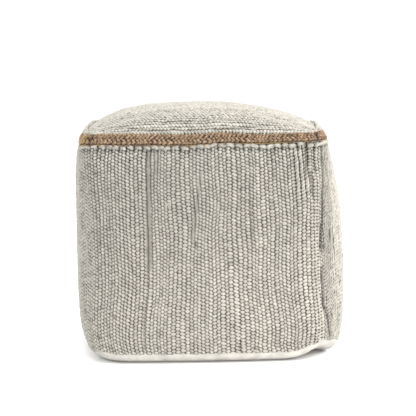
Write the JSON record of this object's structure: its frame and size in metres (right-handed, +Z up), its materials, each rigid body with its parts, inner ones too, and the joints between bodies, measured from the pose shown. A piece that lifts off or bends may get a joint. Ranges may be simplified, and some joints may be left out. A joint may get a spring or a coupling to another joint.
{
  "type": "cube pouf stool",
  "caption": "Soft cube pouf stool: a filled body in rag-woven cotton with a crowned woven top, a plaited jute trim over the top seam and a plain canvas base.",
  "frame": {"origin": "centre of the footprint at floor level, under the canvas base", "axes": "+Z up, -Y towards the front of the picture, +X towards the right side seen from the front"},
  "size_m": [0.5011, 0.4895, 0.453],
  "materials": {
    "woven_cotton": "undyed rag-woven cotton, coarse ribs, matt",
    "jute": "brown plaited jute, matt",
    "canvas": "plain cream cotton canvas, matt"
  },
  "bodies": {
    "root": {"side_band": "woven_cotton", "top_panel": "woven_cotton", "jute_braid": "jute", "canvas_base": "canvas"}
  },
  "joints": []
}
